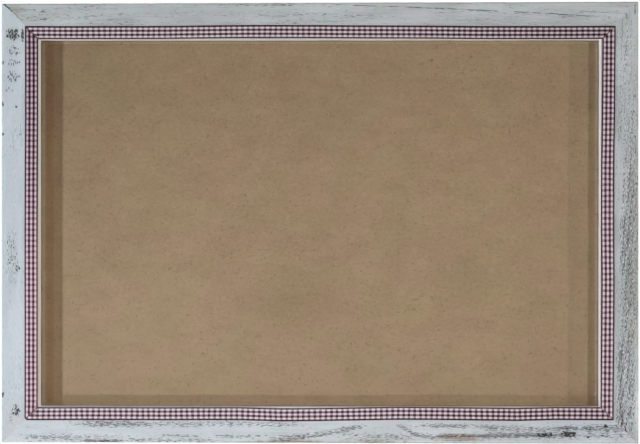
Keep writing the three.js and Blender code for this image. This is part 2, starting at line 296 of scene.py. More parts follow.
# Painted rails. Places are millimetres along the rail and in from its outer edge: bands and cracks run from,
# to, sag, half width, amount; patches are middle, half sizes, amount, and a wash ends with its colour.
# Each rail's light and dark tones are partly its own paint and partly painted shade: darker on the top rail,
# lighter on the bottom one, as the light falls
railPaint = {
    "top": {
        "light": picture(173, 178, 180), "dark": picture(152, 157, 158), "wood": picture(80, 83, 79),
        "stain": picture(120, 112, 92), "grain": 0.33, "pore": (3.0, 0.42, 0.6), "reveal": 0.76,
        "salt": 0.25, "grit": 0.6, "dash": 0.55, "fleck": (1.8, 0.85, 1.0), "worn": 0.6,
        "rings": 0.14, "arch": 110.0, "bow": -0.0002, "pitch": 4.2, "wobble": 9.0,
        "bands": [(2, 6, 70, 7, 0.0, 5.0, 0.14), (108, 1.2, 155, 1.4, 0.0, 0.9, 0.40),
                  (120, 7, 200, 8, 0.0, 3.5, 0.12), (235, 5, 322, 7, 0.0, 3.0, 0.12)],
        "stains": [(7, 3.4, 8, 3.0, 0.75), (62, 8.5, 14, 1.6, 0.3)],
        "washes": [(20, 7.5, 16, 4.5, 0.35, (160, 161, 152)), (312, 7, 16, 5, 0.4, (176, 183, 186)),
                   (42, 2.5, 55, 8, 0.35, (158, 162, 164)), (162, 2.5, 50, 7, 0.4, (186, 191, 193)),
                   (247, 2.5, 20, 7, 0.45, (188, 193, 196)), (95, 8.5, 50, 8, 0.45, (156, 160, 160))],
        "chips": [(21, 4.6, 3.0, 0.7, 0.52), (90, 3.8, 4, 1.0, 0.35)],
        "cracks": [(168, 1.3, 306, 7.8, -0.5, 0.27, 1.0), (297, 5.0, 323, 6.5, 0.0, 0.2, 0.7),
                   (20.0, 4.6, 23.6, 4.8, 0.0, 0.5, 0.9), (19.4, 8.6, 23.0, 8.9, 0.0, 0.4, 0.8),
                   (25.0, 9.0, 31.0, 9.4, 0.0, 0.3, 0.7), (13.2, 0.7, 14.8, 0.8, 0.0, 0.45, 1.1),
                   (0.4, 0.3, 5.2, 4.4, 0.0, 0.55, 1.2), (3.0, 2.7, 10.6, 9.2, 0.0, 0.3, 0.6)],
    },
    "right": {
        "light": picture(172, 178, 181), "dark": picture(148, 153, 154), "wood": picture(60, 62, 60),
        "stain": picture(118, 109, 94), "grain": 0.31, "pore": (1.6, 0.38, 0.6), "reveal": 0.88,
        "salt": 0.65, "grit": 0.6, "dash": 0.45, "fleck": (1.8, 0.85, 1.0), "worn": 0.15,
        "rings": 0.17, "arch": 0.0, "bow": -0.00044, "pitch": 2.3, "wobble": 5.0,
        "bands": [(40, 1.6, 225, 3.4, 0.0, 3.8, 0.22), (62, 5.0, 222, 8.4, 0.0, 3.8, 0.22),
                  (172, 9.5, 228, 10.0, 0.0, 3.2, 0.25), (88, 4.2, 172, 5.0, 0.0, 6.0, 0.12),
                  (160, 5.5, 228, 5.5, 0.0, 5.5, 0.12), (4, 6.4, 80, 6.4, 0.0, 6.4, 0.20),
                  (165, 3.4, 207, 3.6, 0.0, 3.0, 0.10), (108, 8.0, 142, 8.2, 0.0, 2.6, 0.20),
                  (205, 6.5, 234, 6.5, 0.0, 6.5, 0.20)],
        "stains": [(110, 1.8, 66, 3.6, 0.6), (160, 4.0, 40, 3.0, 0.4)],
        "washes": [(170, 2.6, 12, 3.4, 0.5, (170, 163, 147)), (208, 0.6, 24, 1.6, 0.8, (206, 213, 219)),
                   (192, 5.5, 30, 8, 0.42, (192, 199, 204)), (30, 6, 26, 7, 0.3, (186, 191, 192)),
                   (95, 8.5, 20, 6, 0.35, (186, 192, 197)), (45, 3, 22, 7, 0.35, (158, 162, 163))],
        "chips": [(214, 9, 5, 3, 0.52), (219, 6.6, 5, 3, 0.54)],
        "cracks": [(205, 9.5, 221, 6.5, 0.0, 0.3, 0.6), (212, 6.6, 224, 3.0, 0.0, 0.3, 0.5),
                   (0.8, 1.4, 6.8, 1.6, 0.0, 0.4, 0.9), (4.4, 6.0, 9.2, 6.1, 0.0, 0.35, 0.7)],
    },
    "bottom": {
        "light": picture(194, 200, 204), "dark": picture(176, 181, 185), "wood": picture(74, 76, 80),
        "stain": picture(136, 117, 100), "grain": 0.29, "pore": (2.3, 0.46, 0.7), "reveal": 0.76,
        "salt": 0.35, "grit": 0.55, "dash": 0.4, "fleck": (1.8, 0.85, 1.0), "worn": 0.35,
        "rings": 0.12, "arch": 190.0, "bow": 0.0, "pitch": 4.4, "wobble": 5.0,
        "bands": [(24, 10.4, 165, 10.0, 0.0, 2.2, 0.43), (40, 9.6, 80, 9.4, 0.0, 2.4, 0.17),
                  (12, 2.8, 38, 2.6, 0.0, 1.2, 0.22), (41, 1.2, 64, 1.0, 0.0, 1.2, 0.62),
                  (62, 1.8, 114, 1.5, 0.0, 1.5, 0.46), (80, 4.2, 104, 3.8, 0.0, 1.0, 0.34),
                  (108, 3.8, 136, 3.0, 0.0, 1.6, 0.34), (134, 1.4, 190, 9.8, -1.1, 2.4, 0.46),
                  (172, 3.0, 216, 3.0, 0.0, 4.2, 0.30), (203, 10.6, 224, 3.3, -1.9, 2.2, 0.46),
                  (220, 3.8, 272, 4.4, 0.0, 1.4, 0.56), (203, 10.4, 262, 9.2, -0.5, 1.8, 0.30),
                  (244, 5.6, 300, 5.6, 0.0, 5.4, 0.40), (256, 4.4, 280, 4.6, 0.0, 1.5, 0.40),
                  (297, 6.4, 334, 6.4, 0.0, 6.4, 0.40), (4, 2.6, 72, 2.4, 0.0, 3.2, 0.32),
                  (284, 8.4, 306, 8.0, 0.0, 1.6, 0.36), (270, 3.6, 302, 3.8, 0.0, 3.2, 0.15),
                  (215, 8.6, 242, 8.6, 0.0, 2.6, 0.20), (300, 8.4, 324, 8.4, 0.0, 2.8, 0.12)],
        "stains": [(237, 3.2, 19, 3.0, 1.7), (150, 1.2, 22, 1.8, 0.6), (195, 2.2, 22, 2.4, 0.5),
                   (165, 0.4, 75, 1.6, 0.7)],
        "washes": [(262, 5, 40, 8, 0.55, (166, 170, 172)), (300, 7.5, 38, 9, 0.8, (170, 178, 187)),
                   (8, 8, 9, 8, 0.6, (188, 195, 200)), (286, 3, 28, 8, 0.6, (168, 173, 177)),
                   (203, 8.5, 26, 8, 0.55, (172, 177, 181)), (36, 9, 34, 6, 0.35, (182, 187, 191)),
                   (82, 8.5, 26, 7, 0.4, (178, 183, 187))],
        "chips": [(280, 4.6, 7.4, 1.7, 0.90), (292, 5.0, 6.2, 2.2, 1.05), (290, 8.2, 6.0, 1.2, 0.58),
                  (302, 8.0, 3.0, 1.1, 0.46), (310.9, 8.8, 1.8, 1.8, 0.92), (309.5, 4.4, 2.0, 0.7, 0.98),
                  (301.8, 3.4, 1.0, 0.8, 0.95), (301, 6.6, 6.0, 1.6, 0.42), (52, 0.9, 11, 0.8, 0.55),
                  (84, 0.8, 14, 0.6, 0.42), (12, 3.8, 7, 1.2, 0.34)],
        "cracks": [(136, 0.6, 184, 8.6, -1.1, 0.35, 0.55), (203, 10.0, 224, 2.9, -1.9, 0.35, 0.5),
                   (221, 3.6, 280, 4.4, 0.0, 0.35, 0.6)],
    },
    "left": {
        "light": picture(181, 189, 194), "dark": picture(170, 178, 183), "wood": picture(104, 106, 106),
        "grain": 0.34, "pore": (2.6, 0.55, 0.6), "reveal": 0.46,
        "salt": 0.4, "grit": 0.55, "dash": 0.5, "fleck": (1.5, 0.62, 1.0), "worn": 0.2,
        "rings": 0.04, "arch": 100.0, "bow": 0.0003, "pitch": 6.0, "wobble": 6.0,
        "bands": [(116, 5, 146, 5, 0.0, 5.0, 0.30), (180, 8, 222, 6, 0.0, 5.0, 0.14),
                  (62, 6, 80, 6, 0.0, 5, 0.2)],
        "stains": [],
        "washes": [(76, 6, 66, 9, 0.6, (174, 182, 187)), (190, 6, 46, 9, 0.55, (190, 198, 203)),
                   (219, 6, 18, 10, 0.65, (182, 183, 183)), (26, 3, 38, 8, 0.5, (166, 172, 176)),
                   (166, 9, 36, 8, 0.4, (198, 205, 209))],
        "chips": [(16.4, 5.6, 4.6, 5.6, 0.86), (17.0, 10.6, 5.0, 1.1, 0.88), (24.8, 6.0, 3.8, 5.4, 0.56),
                  (31, 6.0, 2.6, 5.6, 0.52), (38.5, 5.2, 5.2, 5.0, 0.60), (44.5, 3.6, 2.0, 4.4, 0.50),
                  (210.7, 7.0, 4.6, 3.6, 0.72), (215.0, 4.4, 2.0, 1.5, 0.66), (202.5, 0.2, 2.2, 0.9, 1.0),
                  (129, 5.0, 16, 5.0, 0.40), (137, 8.2, 3.0, 2.4, 0.54), (31, 0.2, 2.2, 0.8, 0.95),
                  (53.8, 7.2, 0.9, 0.9, 1.0), (52.3, 0.3, 1.8, 0.8, 1.0), (68, 9.3, 1.0, 0.9, 0.8),
                  (67.8, 0.3, 1.6, 0.8, 0.9)],
        "cracks": [],
    },
}

# What the four rails' paint shares. Sizes of noises are in mm along, across and into the rail. A fleck's edge
# says how soft it is.
brushedPaint = {
    "ragged": (3.0, 1.6, 2.0), "clouds": (28.0, 7.0, 9.0), "streaks": (22.0, 0.6, 0.8),
    "casts": (9.0, 5.0, 6.0), "broken": (6.0, 2.0, 2.0), "dashes": (7.0, 0.55, 0.8),
    "ridgeShift": (40.0, 17.0, 5.0),
    "thinCloud": (-0.1, 0.9), "thinStreak": (-0.3, 0.3), "stainStreak": (0.25, 0.58),
    "castEdge": (0.40, 0.60),
    "stainEdge": (1.4, 0.9), "washEdge": (0.9, 0.95), "chipEdge": (0.7, 0.6),  # raggedness, softness
    "bandEdge": (1.6, 0.15), "crackEdge": (0.7, 0.04),  # wander, fade
    "sage": (0.975, 1.005, 0.985, 1.0), "lilac": (1.03, 0.995, 1.025, 1.0),
    "lateWood": (0.1, 0.5), "grainSwing": 0.07, "ridgeEdge": 0.14, "poreEdge": 0.10, "dashShare": 0.9,
    "dashEdge": 0.2, "dashGrit": 0.5, "fleckEdge": 0.05, "fleckGrit": 0.45, "brokenEdge": (0.36, 0.54),
    "front": (3.4, 1.2), "wornIn": (1.1, 0.0), "wornRagged": (0.42, 0.62), "chipStart": (0.03, 0.12),
    "ridge": picture(214, 219, 221), "oldWood": picture(46, 44, 42), "oldWoodShare": 0.92,
    "height": {"sunk": -0.5, "gone": -1.2, "streaks": 0.35, "clouds": 0.4}, "bump": (0.12 * mm, 0.7),
    "roughness": (0.62, 0.9),
}


def railSpace(tree, side):  # millimetres along the rail, in from its outer edge and back from its face
    lie = sides[side]
    place = axes(tree, objectPoint(tree))
    alongAxis, outAxis = ("X", "Z") if lie["along"].x else ("Z", "X")
    alongSign = lie["along"].x + lie["along"].z
    outSign = lie["out"].x + lie["out"].z
    along = times(tree, minus(tree, place[alongAxis], lie["start"]), alongSign / mm)
    across = times(tree, minus(tree, lie["edge"], place[outAxis]), outSign / mm)
    deep = times(tree, minus(tree, place["Y"], frontFace), 1 / mm)
    space = add(tree, "CombineXYZ", {"X": along, "Y": across, "Z": deep}).outputs[0]
    return {"space": space, "across": across, "deep": deep}


def paintMaterial(side):
    paint = railPaint[side]
    brush = brushedPaint
    material, tree, shader = newMaterial(f"{side}RailPaint")
    rail = railSpace(tree, side)
    space = rail["space"]
    ragged = cloud(tree, space, brush["ragged"], detail=3.0, roughness=0.6)
    rings = useGroup(tree, ringGroup, {"Vector": space, "Arch Along": paint["arch"], "Bow": paint["bow"],
                                       "Pitch": paint["pitch"], "Wobble": paint["wobble"]})
    bowed = add(tree, "CombineXYZ", {"Y": rings["Bowed"]}).outputs[0]
    grain = add(tree, "VectorMath", {0: space, 1: bowed}, operation="ADD").outputs[0]

    # Thin brushed paint, cloudy and faintly streaked along the grain, with stains and washes of other tones
    clouds = cloud(tree, space, brush["clouds"], detail=3.0, roughness=0.55)
    streaks = cloud(tree, grain, brush["streaks"])
    thin = plus(tree, swing(tree, clouds, *brush["thinCloud"]), swing(tree, streaks, *brush["thinStreak"]))
    film = tint(tree, limited(tree, thin), paint["light"], paint["dark"])
    if paint["stains"]:
        stains = sumOfPatches(tree, space, ragged, paint["stains"], *brush["stainEdge"])
        stains = times(tree, stains, spread(tree, streaks, *brush["stainStreak"]))
        film = tint(tree, stains, film, paint["stain"])
    for *place, colour in paint["washes"]:
        wash = sumOfPatches(tree, space, ragged, [place], *brush["washEdge"])
        film = tint(tree, wash, film, picture(*colour))

    # Patches of the film lean to sage or to lilac
    casts = cloud(tree, space, brush["casts"], detail=3.0, roughness=0.6)
    casts = tint(tree, smooth(tree, casts, *brush["castEdge"]), brush["sage"], brush["lilac"])
    film = tint(tree, 1.0, film, casts, "MULTIPLY")

    # Open pores and growth lines where the paint has sunk in, pale ridges beside them, bare wood at the edge
    late = spread(tree, rings["Line"], *brush["lateWood"], -0.5 * paint["rings"], paint["rings"])
    bands = sumOfBands(tree, space, ragged, paint["bands"], *brush["bandEdge"])
    patchy = swing(tree, clouds, paint["grain"] - brush["grainSwing"], paint["grain"] + brush["grainSwing"])
    density = plus(tree, late, bands, patchy)
    beside = add(tree, "VectorMath", {0: grain, 1: brush["ridgeShift"]}).outputs[0]
    ridges = flecks(tree, beside, paint["pore"], density, brush["ridgeEdge"], paint["grit"])
    film = tint(tree, times(tree, ridges, paint["salt"]), film, brush["ridge"])
    pores = flecks(tree, grain, paint["pore"], density, brush["poreEdge"], paint["grit"])
    dashes = flecks(tree, grain, brush["dashes"], times(tree, density, brush["dashShare"]),
                    brush["dashEdge"], brush["dashGrit"])
    sunk = maths(tree, "MAXIMUM", pores, times(tree, dashes, paint["dash"]))
    atFront = smooth(tree, rail["deep"], *brush["front"])
    worn = times(tree, times(tree, smooth(tree, rail["across"], *brush["wornIn"]), atFront),
                 spread(tree, ragged, *brush["wornRagged"]))
    bare = maths(tree, "MAXIMUM", sunk, times(tree, worn, paint["worn"]))
    colour = tint(tree, times(tree, bare, paint["reveal"], clamp=True), film, paint["wood"])

    # Chips and cracks down to dark old wood
    chipDensity = times(tree, sumOfPatches(tree, space, ragged, paint["chips"], *brush["chipEdge"]), atFront)
    chips = flecks(tree, space, paint["fleck"], chipDensity, brush["fleckEdge"], brush["fleckGrit"])
    gone = times(tree, chips, smooth(tree, chipDensity, *brush["chipStart"]))
    if paint["cracks"]:
        cracks = sumOfBands(tree, space, ragged, paint["cracks"], *brush["crackEdge"])
        broken = smooth(tree, cloud(tree, space, brush["broken"]), *brush["brokenEdge"])
        gone = maths(tree, "MAXIMUM", gone, times(tree, cracks, broken))
    colour = tint(tree, times(tree, gone, brush["oldWoodShare"]), colour, brush["oldWood"])

    masks = {"sunk": sunk, "gone": gone, "streaks": streaks, "clouds": clouds}
    height = plus(tree, *[times(tree, masks[name], amount) for name, amount in brush["height"].items()])
    setShader(tree, shader, Base_Color=colour, Normal=bump(tree, height, *brush["bump"]),
              Roughness=spread(tree, gone, 0.0, 1.0, *brush["roughness"]), Specular_IOR_Level=0.35)
    return material


lipCream = {
    "top": picture(244, 239, 236), "right": picture(247, 240, 237), "bottom": picture(244, 239, 236),
    "left": picture(236, 237, 237), "streaks": (20.0, 0.7, 0.7), "streak": (0.92, 0.92, 0.92, 1.0),
    # Grime and a painted contact shadow darken the lip where it meets the glass
    "grime": picture(58, 52, 44), "grimeReach": (6.5, 7.5), "grimeSwing": 0.5, "grimeShare": 0.95,
    "bump": (0.06 * mm, 0.5),
}


def lipMaterial(side):  # creamy undercoat inside the sight edge, with grime and a painted contact shadow where it meets the glass
    material, tree, shader = newMaterial(f"{side}LipUndercoat")
    rail = railSpace(tree, side)
    streaks = cloud(tree, rail["space"], lipCream["streaks"], detail=3.0)
    cream = tint(tree, swing(tree, streaks), lipCream[side], lipCream["streak"], "MULTIPLY")
    uneven = plus(tree, rail["deep"], swing(tree, streaks, -lipCream["grimeSwing"], lipCream["grimeSwing"]))
    grimeAndShadeMask = smooth(tree, uneven, *lipCream["grimeReach"], 0.0, lipCream["grimeShare"])
    setShader(tree, shader, Base_Color=tint(tree, grimeAndShadeMask, cream, lipCream["grime"]), Roughness=0.6,
              Specular_IOR_Level=0.3, Normal=bump(tree, streaks, *lipCream["bump"]))
    return material


bareBack = {
    "early": picture(196, 166, 126), "late": picture(158, 118, 78), "paint": picture(196, 200, 202),
    "rings": {"Arch Along": 120.0, "Bow": 0.0002, "Pitch": 2.6, "Wobble": 5.0},
    "lateWood": (0.22, 0.5, 0.0, 0.75), "fibres": (12.0, 0.3, 0.3), "fibreShade": (-0.2, 0.3),
    "smear": (14.0, 3.0, 3.0), "smearSwing": 2.2,
    "paintReach": (2.4, 0.9), "paintOnFibres": (0.35, 0.5, 0.6, 1.0), "bump": (0.08 * mm, 0.6),
}


def backMaterial(side):  # raw pine with paint that ran over from the edge
    material, tree, shader = newMaterial(f"{side}BareBack")
    rail = railSpace(tree, side)
    space = rail["space"]
    lines = useGroup(tree, ringGroup, {"Vector": space, **bareBack["rings"]})["Line"]
    fibres = cloud(tree, space, bareBack["fibres"], detail=3.0)
    grain = plus(tree, smooth(tree, lines, *bareBack["lateWood"]),
                 swing(tree, fibres, *bareBack["fibreShade"]))
    wood = tint(tree, limited(tree, grain), bareBack["early"], bareBack["late"])
    smear = cloud(tree, space, bareBack["smear"], detail=4.0, roughness=0.6)
    reach = plus(tree, rail["across"], swing(tree, smear, -bareBack["smearSwing"], bareBack["smearSwing"]))
    painted = times(tree, smooth(tree, reach, *bareBack["paintReach"]),
                    spread(tree, fibres, *bareBack["paintOnFibres"]))
    setShader(tree, shader, Base_Color=tint(tree, painted, wood, bareBack["paint"]), Roughness=0.8,
              Specular_IOR_Level=0.25, Normal=bump(tree, plus(tree, grain, painted), *bareBack["bump"]))
    return material


# Mesh helpers
weld = 0.002 * mm  # points closer than this are one
onFace = 0.01 * mm  # points closer than this to a plane or an axis lie on it
sliver = 0.004 * mm  # faces thinner than this are joined to the next
square = 0.99  # a normal points along an axis from this share on
noiseLayer = {"fineGrain": 4.4, "chips": 8.8, "puckers": 3.1, "bow": 7.7}  # so that no two agree


def mergedCopy(name):  # a CAD node's loose triangles joined back into whole faces
    bm = bmesh.new()
    bm.from_mesh(nodes[name].data)
    bmesh.ops.remove_doubles(bm, verts=bm.verts, dist=weld)
    bmesh.ops.dissolve_limit(bm, angle_limit=math.radians(1), verts=bm.verts, edges=bm.edges)
    return bm


def foldedEdges(bm, above, below=181):  # edges whose faces turn by an angle in this range, in degrees
    return [e for e in bm.edges
            if e.is_manifold and math.radians(above) < e.calc_face_angle() < math.radians(below)]


def softenEdges(bm, offset, segments, edges):
    bmesh.ops.bevel(bm, geom=edges, offset=offset, offset_type="OFFSET", segments=segments,
                    profile=0.5, affect="EDGES", material=-1, clamp_overlap=True)


def cutThrough(bm, place, normal, **options):
    bmesh.ops.bisect_plane(bm, geom=bm.verts[:] + bm.edges[:] + bm.faces[:], plane_co=place, plane_no=normal,
                           **options)


def meshFrom(bm, name):
    mesh = bpy.data.meshes.new(name)
    bm.to_mesh(mesh)
    bm.free()
    return mesh


def inScene(name, data):
    made = bpy.data.objects.new(name, data)
    scene.collection.objects.link(made)
    return made


def finishPiece(bm, name, body, replaced, materials, smoothAngle):
    mesh = meshFrom(bm, name)
    for material in materials:
        mesh.materials.append(material)
    mesh.shade_smooth()
    mesh.set_sharp_from_angle(angle=math.radians(smoothAngle))
    piece = inScene(name, mesh)
    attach(piece, body)
    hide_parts(replaced)


def clamped(value):
    return max(0.0, min(1.0, value))


def inwardOf(place, lie):  # how far a place lies in from its side's outer edge
    return abs(lie["edge"] - place.dot(lie["outAxis"]))


def valueAt(values, share):  # read off values that stand at even steps
    spot = clamped(share) * (len(values) - 1)
    first = min(int(spot), len(values) - 2)
    return values[first] + (values[first + 1] - values[first]) * (spot - first)


def drifted(place, drift):
    shift = Vector()
    for side, values in drift.items():
        lie = sides[side]
        near = clamped(2.0 - inwardOf(place, lie) / (2 * railWidth))  # full on this side, gone further in
        span = abs(Vector((rightEdge - leftEdge, 0, bottomEdge - topEdge)).dot(lie["along"]))
        share = abs(place.dot(lie["alongAxis"]) - lie["start"]) / span
        shift -= lie["out"] * near * valueAt(values, share) * mm
    return shift


# Handled is an angle in degrees, the sizes of grain and chips are in mm along and across the face, and a face
# counts as mitre, front or side from this share of its normal on
railShape = {
    "arris": 0.16 * mm, "handled": 50, "closed": 0.99, "step": 1.5 * mm, "strip": 1.1 * mm, "land": 11.2 * mm,
    "wear": 0.10 * mm, "wornIn": 1.5 * mm, "wornBack": 2.0 * mm, "wornSizes": (7 * mm, 2.2 * mm),
    "wornFine": 0.6, "wornLevel": 0.25, "sightIn": 0.5 * mm, "outerShare": 3.0 * mm,
    "grain": (16, 1.5), "fineGrain": (5, 1), "fineShare": 0.5, "grainLevel": 0.2, "grainDepth": 0.06 * mm,
    "chipRough": (2.2, 1.4), "chipLevel": 0.35, "chipDepth": 0.30 * mm,
    "mitre": 0.6, "front": 0.3, "side": 0.5,
}
# How far the sight edge and the outer edge of a rail sit in from true, in mm from one end to the other
sightDrift = {"top": (0.0, 0.55), "right": (0.1, 0.55), "bottom": (0.0, 0.1), "left": (0.0, 0.0)}
outerDrift = {"top": (0.35, 0.2), "right": (-0.42, -0.42), "bottom": (0.32, 0.05), "left": (-0.46, -0.40)}


def noiseAt(along, across, size, layer):
    return noise.noise(Vector((along / size[0], across / size[1], layer)))


def relief(side, along, across):  # how deep the face lies at a place in mm: open grain and lost chips
    look = railShape
    grain = noiseAt(along, across, look["grain"], len(side))
    grain += look["fineShare"] * noiseAt(along, across, look["fineGrain"], noiseLayer["fineGrain"])
    depth = look["grainDepth"] * max(grain + look["grainLevel"], 0.0)
    rough = max(noiseAt(along, across, look["chipRough"], noiseLayer["chips"]) + look["chipLevel"], 0.0)
    for chipAlong, chipAcross, halfLength, halfWidth, amount in railPaint[side]["chips"]:
        away = math.hypot((along - chipAlong) / halfLength, (across - chipAcross) / halfWidth)
        depth += look["chipDepth"] * amount * rough * max(1 - away, 0.0)
    return depth


def buildRail(side):
    lie = sides[side]
    look = railShape
    bm = mergedCopy(f"{side}_rail")

    # Paint fills the mitre, so the ends close up to a hairline
    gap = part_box("top_rail")[0].x - leftEdge
    ends = [f for f in bm.faces
            if min(abs(f.normal.dot(lie["along"])), abs(f.normal.dot(lie["out"]))) > look["mitre"]]
    for vert in {v for f in ends for v in f.verts}:
        vert.tag = True
        vert.co += lie["along"] * math.copysign(gap * look["closed"], (vert.co - middle).dot(lie["along"]))
    handled = [e for e in foldedEdges(bm, look["handled"]) if not all(v.tag for v in e.verts)]
    softenEdges(bm, look["arris"], 2, handled)

    # Cuts across the rail and strips along its face carry the uneven edges, the grain and the chips
    low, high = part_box(f"{side}_rail")
    length = abs((high - low).dot(lie["along"]))
    for i in range(1, int(length / look["step"])):
        cutThrough(bm, low + lie["alongAxis"] * (i * look["step"]), lie["along"], dist=onFace)
    corner = Vector((leftEdge if lie["along"].x else lie["edge"], 0,
                     topEdge if lie["along"].z else lie["edge"]))
    for i in range(1, int(look["land"] / look["strip"]) + 1):
        front = [f for f in bm.faces if f.normal.y < -square]
        chosen = set(front)
        cut = front + [e for e in bm.edges if not chosen.isdisjoint(e.link_faces)]
        cut += [v for v in bm.verts if not chosen.isdisjoint(v.link_faces)]
        bmesh.ops.bisect_plane(bm, geom=cut, plane_co=corner - lie["out"] * (i * look["strip"]),
                               plane_no=lie["out"], dist=onFace)
    for vert in bm.verts:
        inward = inwardOf(vert.co, lie)
        if abs(vert.co.y - frontFace) < onFace and inward < look["land"]:
            vert.co.y += relief(side, (vert.co - corner).dot(lie["along"]) / mm, inward / mm)
        if inward < look["wornIn"] and vert.co.y < frontFace + look["wornBack"]:
            coarse, fine = look["wornSizes"]
            rough = noise.noise(vert.co / coarse) + look["wornFine"] * noise.noise(vert.co / fine)
            vert.co -= lie["out"] * look["wear"] * max(rough + look["wornLevel"], 0.0)
        elif inward > railWidth - look["sightIn"] and vert.co.y < glassFront:
            vert.co += drifted(vert.co, sightDrift)
        vert.co += drifted(vert.co, outerDrift) * max(1 - inward / look["outerShare"], 0.0)

    # Painted front and outside, creamy lip, bare back and rebate
    for face in bm.faces:
        outward = face.normal.dot(lie["out"])
        if face.normal.y < -look["front"] or outward > look["side"]:
            face.material_index = 0
        elif outward < -look["side"] and face.calc_center_median().y < glassFront:
            face.material_index = 1
        else:
            face.material_index = 2
    finishPiece(bm, f"{side}Rail", "frame", f"{side}_rail",
                [paintMaterial(side), lipMaterial(side), backMaterial(side)], smoothAngle=32)


for side in sides:
    buildRail(side)
print("rails built")


# Gingham ribbon: warp runs along the strip, weft across it. Lengths without mm are millimetres of the weave.
ribbonCloth = {
    "width": 7.0, "pulledIn": 0.15, "firstBand": 0.31, "check": 2.86, "thread": 0.333, "duty": 0.46,
    "step": 1.0 * mm, "strips": 10, "spare": 1.0 * mm, "thickness": 0.26 * mm, "mitreOver": 0.12 * mm,
    "puckers": 0.10 * mm, "puckerSize": (9 * mm, 5 * mm), "bow": 0.22 * mm, "bowLength": 60 * mm,
    "heldEnds": 20 * mm, "selvedge": 0.9, "selvedgeWarp": 0.9,
    "wander": 0.2, "wanderSize": (9.0, 9.0, 9.0), "dye": (0.9, 1.1), "dyeSize": (4.0, 1.0, 1.0),
    "bands": {"top": (1.12, 0.95), "right": (1.16, 0.99), "bottom": (1.13, 0.955), "left": (1.16, 0.99)},
    "warpShare": {"top": (0.49, 0.83), "right": (0.48, 0.80), "bottom": (0.42, 0.76), "left": (0.54, 0.86)},
    # The per-side dark and white are partly the cloth's own and partly painted shade: darker on the top
    # ribbon, lighter on the bottom one, as the light falls
    "dark": {"top": picture(47, 19, 29), "right": picture(56, 20, 34), "bottom": picture(62, 25, 38),
             "left": picture(66, 17, 34)},
    "white": {"top": picture(201, 191, 196), "right": picture(204, 194, 201),
              "bottom": picture(212, 205, 211), "left": picture(205, 194, 202)},
    # Painted shade: the cloth darkens towards these ends of each side, as the light falls off
    "deeper": {"top": (0.04, 0.28), "right": (0.20, 0.0), "bottom": (0.0, 0.22), "left": (0.55, 0.0)},
    "deeperFrom": (0.4, -0.1),
    "frayed": (0.8, 0.8, 0.8), "fray": 0.15, "seamReach": (0.55, 0.15),
    "seam": {"top": 0.75, "right": 0.45, "bottom": 0.55, "left": 0.75},
    "rubbed": {"top": 0.0, "right": 0.0, "bottom": 0.15, "left": 0.75}, "rubbedTo": picture(138, 80, 66),
    "rubbedReach": (1.0, 0.6), "rubbedFrayed": (0.35, 0.6, 0.6, 1.0), "rubbedFrom": 0.3,
    "glue": picture(104, 56, 52), "glueShare": 0.45, "glueEdge": (1.2, 0.6), "bump": (0.08 * mm, 0.6),
}
# How far the ribbon sits in from true, in mm at even steps along each side
ribbonDrift = {
    "top": (0.40, 0.49, 0.55, 0.33, 0.42, 0.74, 1.08, 1.11, 1.10),
    "right": (-0.20, -0.10, 0.13, 0.68, 0.70, 0.48, 0.70, 0.86, 0.93),
    "bottom": (0.15, 0.16, 0.18, 0.09, 0.02, 0.16, 0.23, -0.27, -0.03,
               0.34, 0.67, 0.57, 0.30, 0.05, 0.59, 0.60, 0.45),
    "left": (0.17, 0.28, 0.30, 0.16, 0.12, 0.10, 0.10, 0.0, 0.0),
}
# The lower left corner: both ends are cut short, and the cloth swells over the lump of glue
ribbonCut = {"ends": [("left", 1), ("bottom", -1)], "length": 1.3 * mm}
ribbonFold = {"u": -147.6, "v": 3.9, "halfLength": 1.9, "halfWidth": 1.4, "rise": 0.35 * mm,
              "reach": 4.0 * mm}


